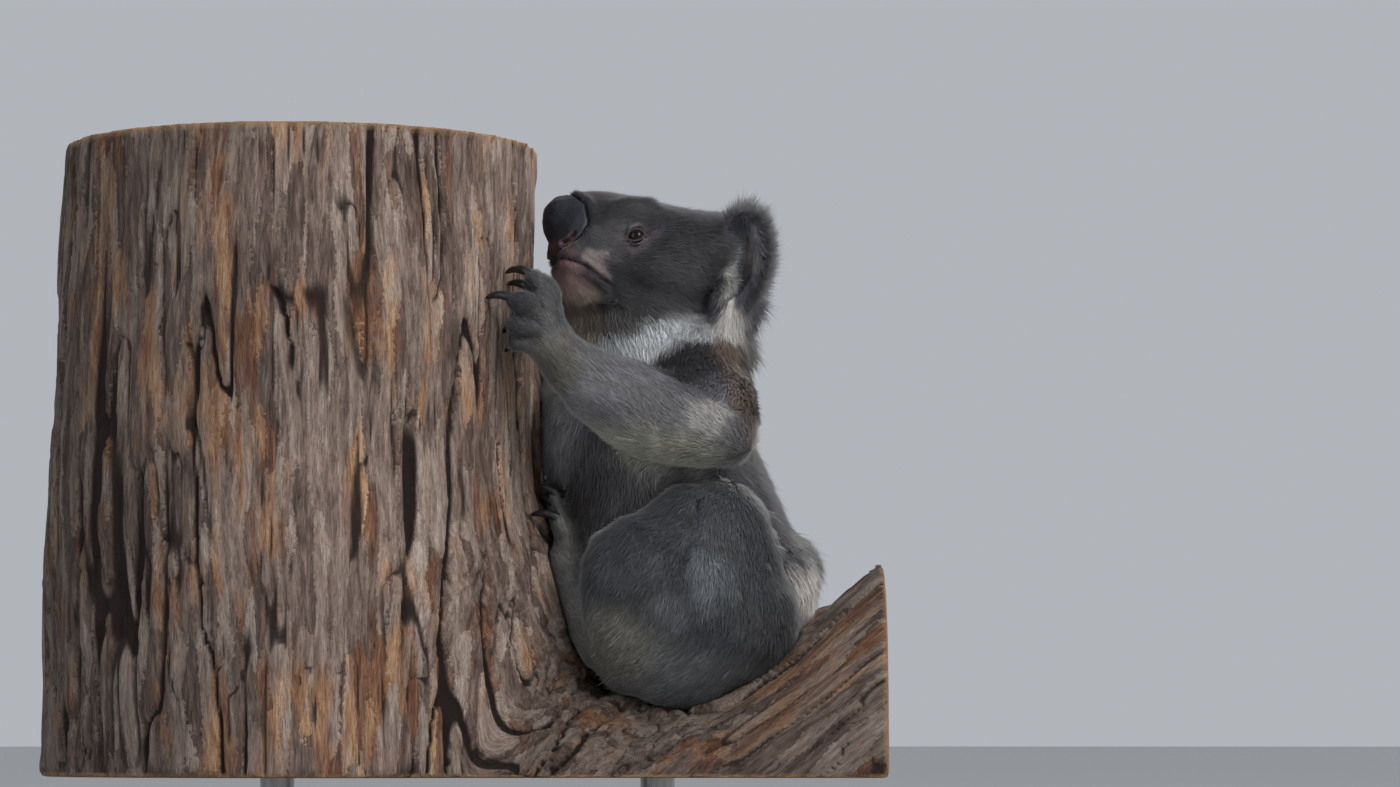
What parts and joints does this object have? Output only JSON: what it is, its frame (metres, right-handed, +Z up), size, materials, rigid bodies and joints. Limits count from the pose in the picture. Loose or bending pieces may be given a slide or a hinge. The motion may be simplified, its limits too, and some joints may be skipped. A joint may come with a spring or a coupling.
{
  "type": "koala sitting in the fork of a tree, life-size model on a display stand",
  "caption": "Life-size koala holding a tree trunk with its head raised, seated in a cut fork of stringy-barked wood on a plain display stand.",
  "frame": {"origin": "middle of the underside of the stand's base", "axes": "+Z up, -X the way the animal faces, -Y its left side"},
  "size_m": [0.74, 0.46, 0.585],
  "materials": {
    "fur": "dense soft fur, dark grey brown above, pale below",
    "nose_leather": "fine pebbled bare skin",
    "eye": "wet gloss, dark brown",
    "claw_horn": "dark horn, satin",
    "bark": "stringy fissured bark, sawn ends",
    "stand_board": "satin black paint",
    "stand_steel": "satin steel"
  },
  "bodies": {
    "root": {"head": "fur", "neck": "fur", "trunk": "fur", "ear_left": "fur", "ear_right": "fur", "arm_left": "fur", "arm_right": "fur", "forearm_left": "fur", "forearm_right": "fur", "hand_left": "fur", "hand_right": "fur", "thigh_left": "fur", "thigh_right": "fur", "shank_left": "fur", "shank_right": "fur", "foot_left": "fur", "foot_right": "fur", "nose": "nose_leather", "eye_left": "eye", "eye_right": "eye", "claw_hand_left_1": "claw_horn", "claw_hand_left_2": "claw_horn", "claw_hand_left_3": "claw_horn", "claw_hand_left_4": "claw_horn", "claw_hand_left_5": "claw_horn", "claw_hand_right_1": "claw_horn", "claw_hand_right_2": "claw_horn", "claw_hand_right_3": "claw_horn", "claw_hand_right_4": "claw_horn", "claw_hand_right_5": "claw_horn", "claw_foot_left_2": "claw_horn", "claw_foot_left_3": "claw_horn", "claw_foot_left_4": "claw_horn", "claw_foot_left_5": "claw_horn", "claw_foot_right_2": "claw_horn", "claw_foot_right_3": "claw_horn", "claw_foot_right_4": "claw_horn", "claw_foot_right_5": "claw_horn", "perch_fork": "bark", "stand_base": "stand_board", "stand_rod_1": "stand_steel", "stand_rod_2": "stand_steel"}
  },
  "joints": []
}
